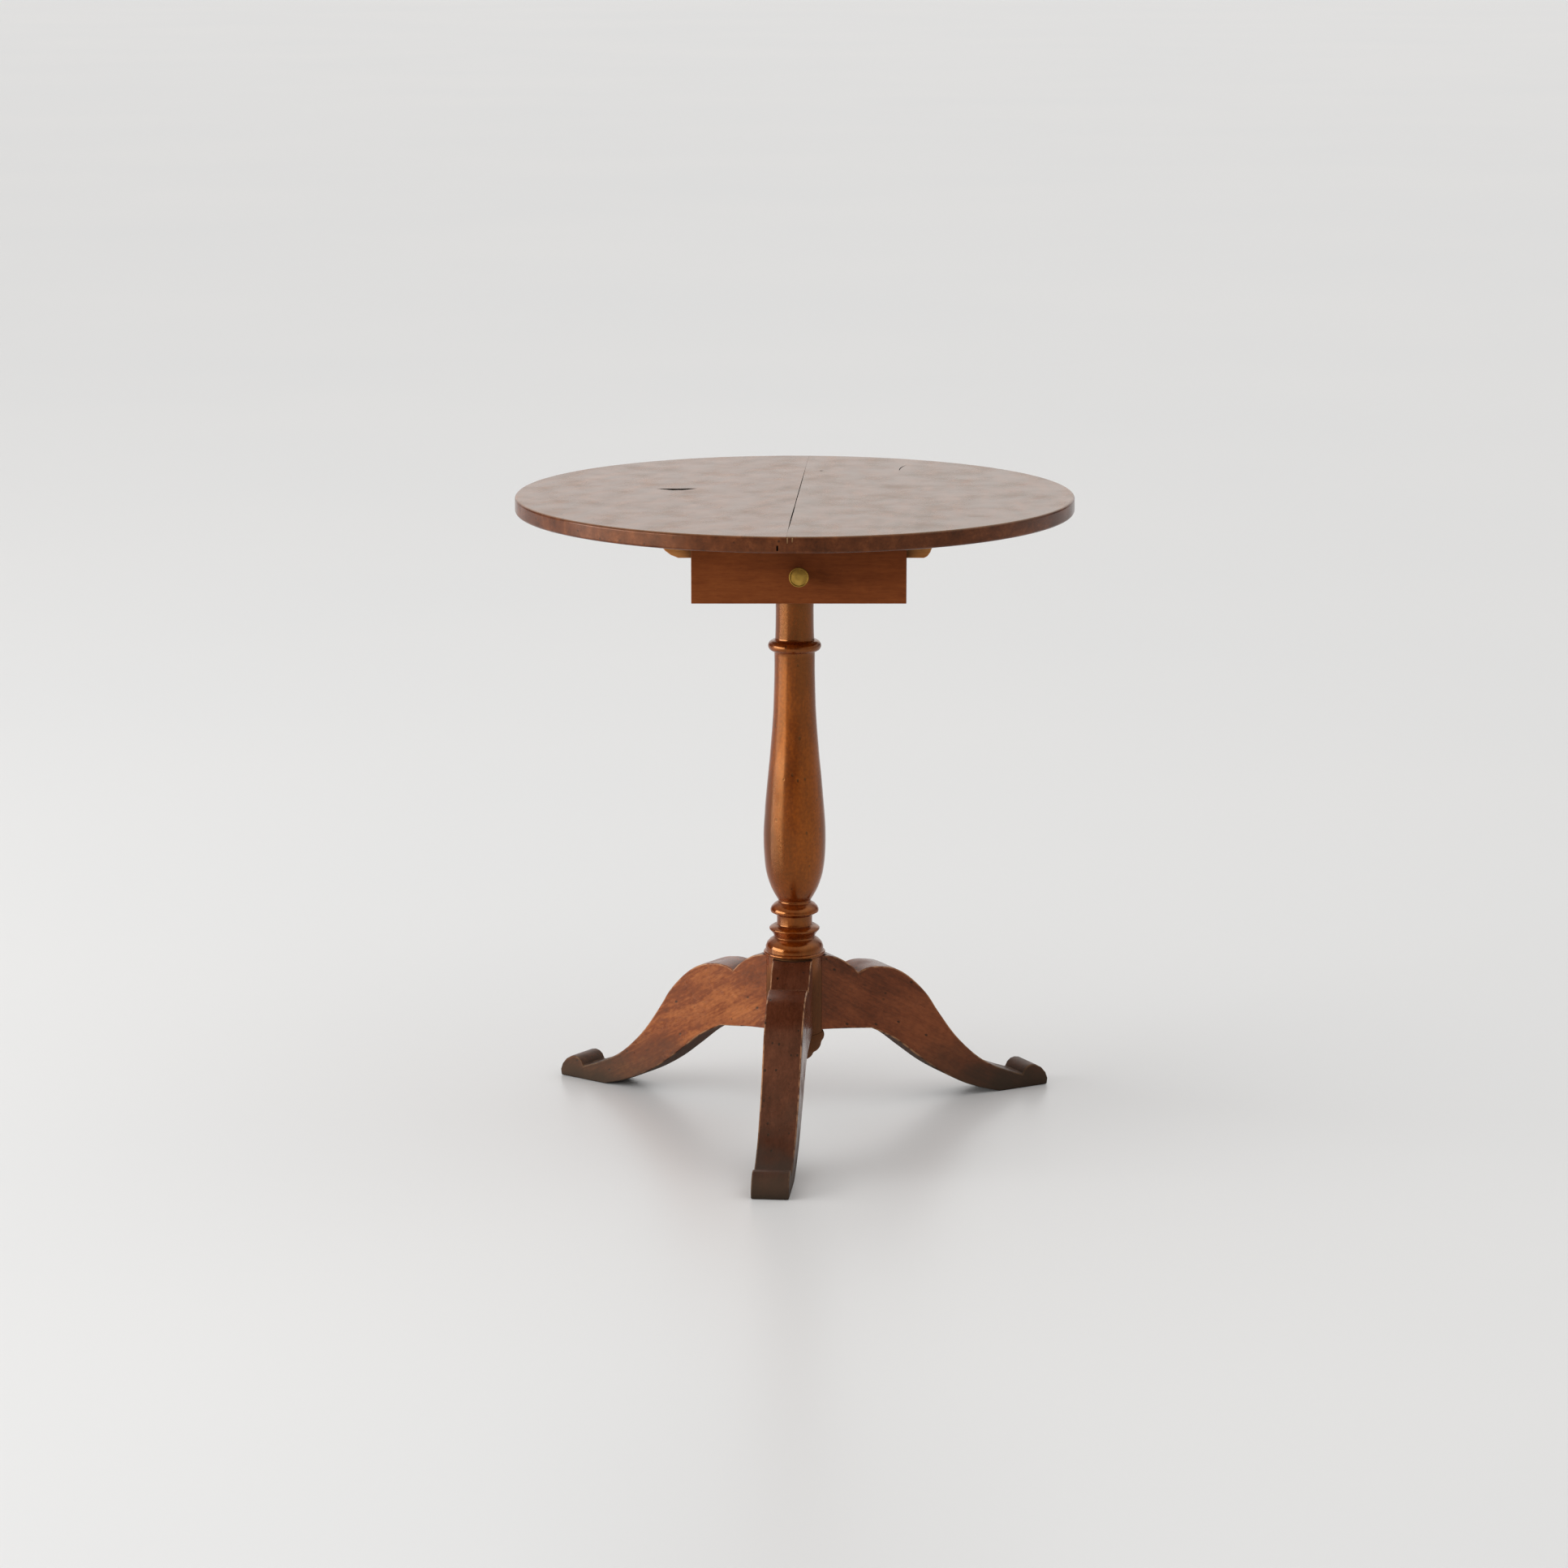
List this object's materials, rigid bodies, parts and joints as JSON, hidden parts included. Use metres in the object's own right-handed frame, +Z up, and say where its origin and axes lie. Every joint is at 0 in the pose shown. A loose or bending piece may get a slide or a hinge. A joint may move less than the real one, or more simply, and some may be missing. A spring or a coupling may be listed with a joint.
{
  "type": "tilt top table",
  "caption": "Round tilt-top pedestal table with a turned column, three scrolled legs and a shallow drawer with a knob.",
  "frame": {"origin": "on the floor, on the axis of the turned column, within 6 mm of the centre of the footprint", "axes": "+Z up; -Y is the drawer side; +X is the side with the tilt pivot"},
  "size_m": [0.6404, 0.6615, 0.74],
  "materials": {
    "top_wood": "satin, worn grey-brown varnish",
    "column_wood": "satin golden-brown varnish",
    "leg_wood": "satin red-brown varnish, worn at the feet",
    "drawer_wood": "satin red-brown stain",
    "batten_wood": "matte, oiled",
    "case_wood": "raw, matte",
    "brass": "aged, dull polish",
    "iron": "dark, oxidised"
  },
  "bodies": {
    "base": {"block_screw_1": "iron", "block_screw_2": "iron", "block_screw_3": "iron", "block_screw_4": "iron", "cap_plate": "case_wood", "cap_screw_1": "iron", "cap_screw_2": "iron", "cap_screw_3": "iron", "cap_screw_4": "iron", "case_back": "case_wood", "case_bottom": "case_wood", "case_screw_1": "iron", "case_screw_2": "iron", "case_screw_3": "iron", "case_screw_4": "iron", "case_side_left": "case_wood", "case_side_right": "case_wood", "column": "column_wood", "drop_finial": "column_wood", "leg_front": "leg_wood", "leg_left": "leg_wood", "leg_right": "leg_wood", "tenon_wedge": "batten_wood", "tilt_block": "case_wood"},
    "top": {"batten_front": "batten_wood", "batten_rear": "batten_wood", "batten_screw_1": "iron", "batten_screw_2": "iron", "batten_screw_3": "iron", "batten_screw_4": "iron", "batten_screw_5": "iron", "batten_screw_6": "iron", "batten_screw_7": "iron", "batten_screw_8": "iron", "latch_screw_1": "iron", "latch_spacer": "batten_wood", "pivot_pin_front": "iron", "pivot_pin_rear": "iron", "top_board_left": "top_wood", "top_board_right": "top_wood"},
    "latch": {"turn_button": "batten_wood"},
    "drawer": {"drawer_back": "case_wood", "drawer_bottom": "case_wood", "drawer_front": "drawer_wood", "drawer_side_left": "case_wood", "drawer_side_right": "case_wood", "knob": "brass", "knob_nut": "iron"}
  },
  "joints": [
    {"name": "top_tilt", "type": "hinge", "parent": "base", "child": "top", "pos_m": [0.112, 0, 0.7102], "axis": [0, 1, 0], "range_deg": [0, 90]},
    {"name": "latch_turn", "type": "hinge", "parent": "top", "child": "latch", "pos_m": [-0.133, 0, 0.693], "axis": [0, 0, 1], "range_deg": [0, 90]},
    {"name": "drawer_slide", "type": "slide", "parent": "base", "child": "drawer", "axis": [0, -1, 0], "range_m": [0, 0.22]}
  ]
}
